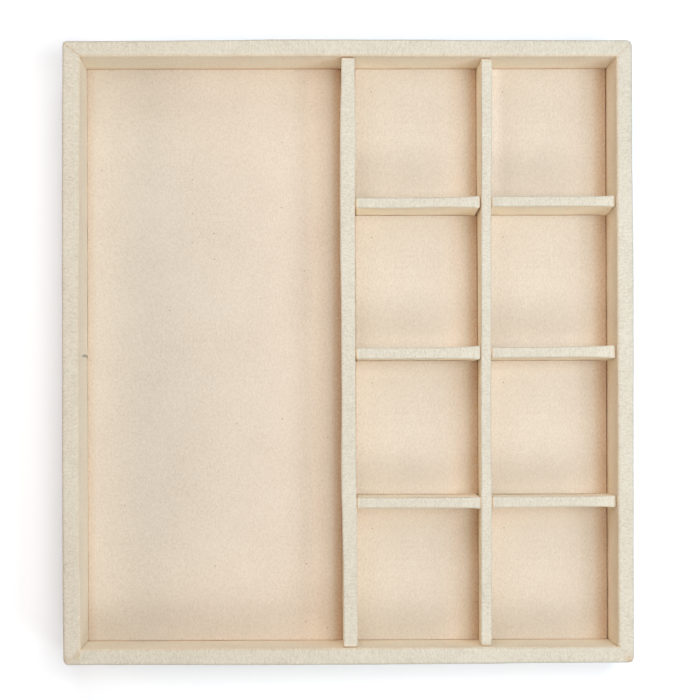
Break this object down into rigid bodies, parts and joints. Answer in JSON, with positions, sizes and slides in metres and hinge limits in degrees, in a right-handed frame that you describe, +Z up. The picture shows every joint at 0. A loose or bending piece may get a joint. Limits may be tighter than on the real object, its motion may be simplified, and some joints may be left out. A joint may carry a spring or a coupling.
{
  "type": "jewelry tray",
  "caption": "Open flat tray covered in cream woven cloth, with one long compartment and a grid of small square ones over a paler lining, for keeping jewelry in a drawer.",
  "frame": {"origin": "middle of the underside, on the surface that the tray stands on", "axes": "+Z up, out of the open side; +Y towards the back, along the long dividers; +X to the right, from the long compartment to the small ones"},
  "size_m": [0.2794, 0.3048, 0.0381],
  "materials": {
    "cover_cloth": "matte woven cloth, cream with a green-grey cast",
    "lining_cloth": "matte fine canvas, pale peach cream",
    "frame_board": "raw fibreboard",
    "divider_board": "raw fibreboard",
    "base_board": "raw fibreboard",
    "pad_card": "grey card",
    "base_felt": "short-napped felt"
  },
  "bodies": {
    "root": {"base_board": "base_board", "base_felt": "base_felt", "column_divider_board": "divider_board", "column_divider_cloth": "cover_cloth", "frame_board_back": "frame_board", "frame_board_front": "frame_board", "frame_board_left": "frame_board", "frame_board_right": "frame_board", "frame_cloth_back": "cover_cloth", "frame_cloth_front": "cover_cloth", "frame_cloth_left": "cover_cloth", "frame_cloth_right": "cover_cloth", "inner_cross_divider_board_1": "divider_board", "inner_cross_divider_board_2": "divider_board", "inner_cross_divider_board_3": "divider_board", "inner_cross_divider_cloth_1": "cover_cloth", "inner_cross_divider_cloth_2": "cover_cloth", "inner_cross_divider_cloth_3": "cover_cloth", "inner_pad_card_1": "pad_card", "inner_pad_card_2": "pad_card", "inner_pad_card_3": "pad_card", "inner_pad_card_4": "pad_card", "inner_pad_cloth_1": "lining_cloth", "inner_pad_cloth_2": "lining_cloth", "inner_pad_cloth_3": "lining_cloth", "inner_pad_cloth_4": "lining_cloth", "large_pad_card": "pad_card", "large_pad_cloth": "lining_cloth", "main_divider_board": "divider_board", "main_divider_cloth": "cover_cloth", "outer_cross_divider_board_1": "divider_board", "outer_cross_divider_board_2": "divider_board", "outer_cross_divider_board_3": "divider_board", "outer_cross_divider_cloth_1": "cover_cloth", "outer_cross_divider_cloth_2": "cover_cloth", "outer_cross_divider_cloth_3": "cover_cloth", "outer_pad_card_1": "pad_card", "outer_pad_card_2": "pad_card", "outer_pad_card_3": "pad_card", "outer_pad_card_4": "pad_card", "outer_pad_cloth_1": "lining_cloth", "outer_pad_cloth_2": "lining_cloth", "outer_pad_cloth_3": "lining_cloth", "outer_pad_cloth_4": "lining_cloth"}
  },
  "joints": []
}
